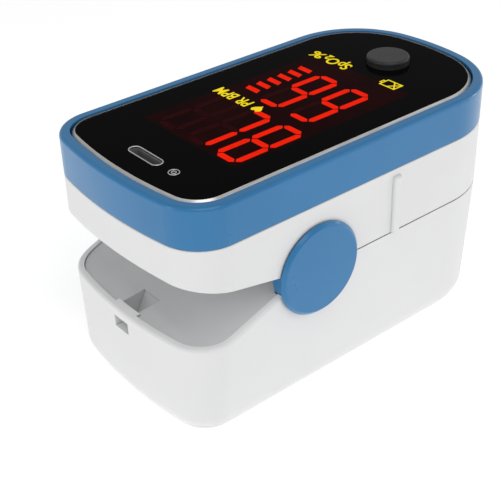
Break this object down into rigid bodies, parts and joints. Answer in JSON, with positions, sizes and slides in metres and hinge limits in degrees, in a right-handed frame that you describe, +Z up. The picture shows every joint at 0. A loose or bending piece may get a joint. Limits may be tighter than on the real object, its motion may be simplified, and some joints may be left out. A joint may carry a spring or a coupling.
{
  "type": "fingertip pulse oximeter",
  "caption": "Fingertip clip that reads pulse and blood oxygen: two sprung jaws with padded finger opening, lit display window, power button, lanyard eye and sliding battery cover.",
  "frame": {"origin": "centre of the case's plan at its underside", "axes": "+X towards the finger opening and the power button, +Z up through the display"},
  "size_m": [0.058, 0.033, 0.0348],
  "materials": {
    "blue_plastic": "satin injection moulded ABS, mid blue",
    "silver_trim": "satin silver painted plastic",
    "black_window": "polished black acrylic",
    "display_grey": "dark red filter over the light modules",
    "circuit_board": "green solder resist",
    "chip_black": "moulded epoxy",
    "insert_grey": "fine texture",
    "clear_lens": "clear moulded",
    "white_plastic": "satin injection moulded ABS, white",
    "tray_plastic": "satin injection moulded ABS, off-white",
    "pad_rubber": "matt silicone rubber",
    "led_die": "yellow lit die",
    "screw_steel": "zinc plated",
    "button_black": "satin black",
    "plunger_plastic": "moulded",
    "battery_wrap": "printed film sleeve, plain",
    "contact_steel": "nickel plated spring steel",
    "spring_steel": "spring wire",
    "lit_red": "lit display segment",
    "lit_yellow": "lit display legend"
  },
  "bodies": {
    "lower_half": {"lower_shell": "white_plastic", "lower_inner_cover": "tray_plastic", "lower_finger_pad": "pad_rubber", "sensor_board": "circuit_board", "photodiode": "chip_black", "sensor_lens": "clear_lens", "battery_1": "battery_wrap", "battery_2": "battery_wrap", "front_bridge_contact": "contact_steel", "rear_negative_contact": "contact_steel", "rear_positive_contact": "contact_steel", "hinge_cap_left": "blue_plastic", "hinge_cap_right": "blue_plastic", "hinge_pin_left": "screw_steel", "hinge_pin_right": "screw_steel", "torsion_spring_left": "spring_steel", "torsion_spring_right": "spring_steel", "lower_screws": "screw_steel"},
    "upper_half": {"top_cover": "blue_plastic", "window_trim": "silver_trim", "display_window": "black_window", "led_display": "display_grey", "main_board": "circuit_board", "board_chips": "chip_black", "tact_switch": "chip_black", "buzzer": "chip_black", "slot_insert": "insert_grey", "light_sensor": "clear_lens", "upper_shell": "white_plastic", "upper_inner_cover": "white_plastic", "upper_finger_pad": "pad_rubber", "emitter_board": "circuit_board", "emitter_leds": "led_die", "emitter_lens": "clear_lens", "upper_screws": "screw_steel"},
    "power_button_body": {"power_button": "button_black", "switch_plunger": "plunger_plastic"},
    "battery_cover_body": {"battery_cover": "white_plastic"}
  },
  "joints": [
    {"name": "jaw_hinge", "type": "hinge", "parent": "lower_half", "child": "upper_half", "pos_m": [-0.0088, 0, 0.019], "axis": [0, -1, 0], "range_deg": [0, 20], "stiffness_Nm_per_rad": 0.06, "springref_deg": -34.38, "deforming": ["torsion_spring_left", "torsion_spring_right"]},
    {"name": "power_button_press", "type": "slide", "parent": "upper_half", "child": "power_button_body", "axis": [0, 0, -1], "range_m": [0, 0.0005], "stiffness_N_per_m": 400, "springref_m": -0.002},
    {"name": "battery_cover_slide", "type": "slide", "parent": "lower_half", "child": "battery_cover_body", "axis": [1, 0, 0], "range_m": [0, 0.048]}
  ]
}
